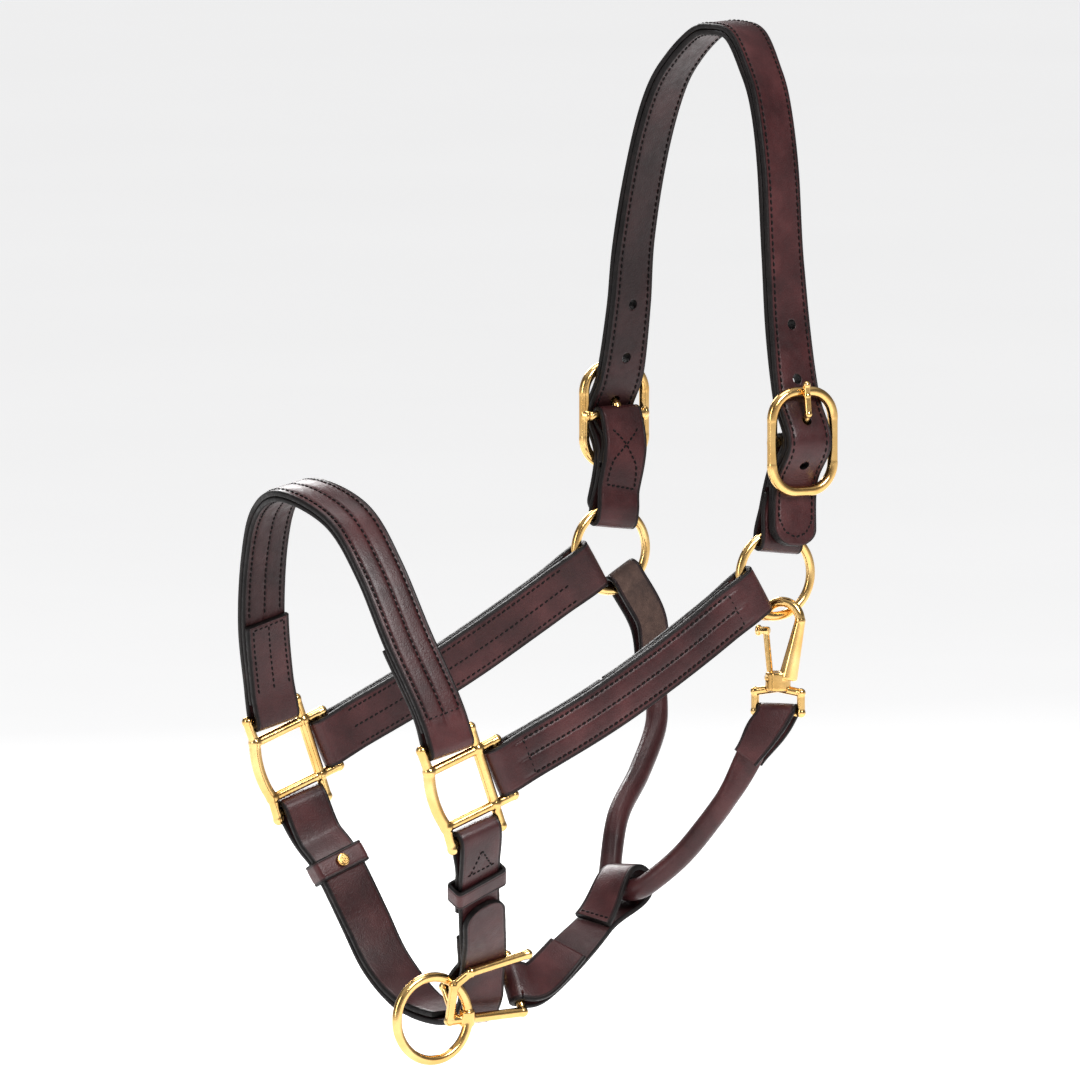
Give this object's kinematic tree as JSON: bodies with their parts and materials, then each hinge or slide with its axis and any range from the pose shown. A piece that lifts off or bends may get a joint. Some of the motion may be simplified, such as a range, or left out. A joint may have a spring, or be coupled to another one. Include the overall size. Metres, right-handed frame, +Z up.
{
  "type": "leather headcollar",
  "caption": "Stitched leather headcollar with cast brass squares and rings, buckled crown, rolled throatlatch with a snap, and a chin fitting with a lead ring.",
  "frame": {"origin": "underside of the crown strap at its highest point, where it rests on the poll", "axes": "+Z up, nose towards -Y, the horse's near (left) side towards +X"},
  "size_m": [0.1922, 0.2769, 0.509],
  "materials": {
    "strap_leather": "burnished havana bridle leather with blackened edges",
    "lining_leather": "smooth lining leather",
    "brass": "polished solid brass",
    "cord_core": "plain cotton cord"
  },
  "bodies": {
    "headcollar": {"crown_outer": "strap_leather", "crown_lining": "lining_leather", "near_chape": "strap_leather", "far_chape": "strap_leather", "near_buckle_frame": "brass", "far_buckle_frame": "brass", "near_cheek_outer": "strap_leather", "near_cheek_lining": "lining_leather", "far_cheek_outer": "strap_leather", "far_cheek_lining": "lining_leather", "noseband_outer": "strap_leather", "noseband_lining": "lining_leather", "near_halter_square": "brass", "far_halter_square": "brass", "far_chin_strap": "strap_leather", "far_chin_keeper": "strap_leather", "far_keeper_stud": "brass", "near_chin_stay": "strap_leather", "chin_fitting": "brass", "connector_strap": "strap_leather", "throatlatch_roll": "strap_leather", "throatlatch_core": "cord_core", "throatlatch_far_end": "strap_leather", "throatlatch_near_end": "strap_leather"},
    "near_tongue": {"near_buckle_tongue": "brass"},
    "far_tongue": {"far_buckle_tongue": "brass"},
    "near_ring": {"near_upper_ring": "brass"},
    "far_ring": {"far_upper_ring": "brass"},
    "snap": {"snap_body": "brass", "snap_gate_pin": "brass"},
    "snap_gate": {"snap_gate": "brass"},
    "near_keeper": {"near_chin_keeper": "strap_leather"}
  },
  "joints": [
    {"name": "near_tongue_lift", "type": "hinge", "parent": "headcollar", "child": "near_tongue", "pos_m": [0.085, -0.012, -0.197], "axis": [0, 1, 0], "range_deg": [0, 4]},
    {"name": "far_tongue_lift", "type": "hinge", "parent": "headcollar", "child": "far_tongue", "pos_m": [-0.085, -0.012, -0.197], "axis": [0, -1, 0], "range_deg": [0, 4]},
    {"name": "near_ring_turn", "type": "hinge", "parent": "headcollar", "child": "near_ring", "pos_m": [0.077, -0.021, -0.264], "axis": [1, 0, 0], "continuous": true},
    {"name": "far_ring_turn", "type": "hinge", "parent": "headcollar", "child": "far_ring", "pos_m": [-0.077, -0.021, -0.264], "axis": [1, 0, 0], "continuous": true},
    {"name": "snap_swing", "type": "hinge", "parent": "headcollar", "child": "snap", "pos_m": [0.0755, -0.0183, -0.333], "axis": [0.8, 0.6, 0], "range_deg": [-1.5, 1.5]},
    {"name": "snap_gate_open", "type": "hinge", "parent": "snap", "child": "snap_gate", "pos_m": [0.0723, -0.0207, -0.316], "axis": [-0.6, 0.8, 0], "range_deg": [0, 18], "stiffness_Nm_per_rad": 0.05, "springref_deg": -11.46},
    {"name": "near_keeper_slide", "type": "slide", "parent": "headcollar", "child": "near_keeper", "axis": [0.5239, -0.3729, 0.7658], "range_m": [0, 0.004]}
  ]
}
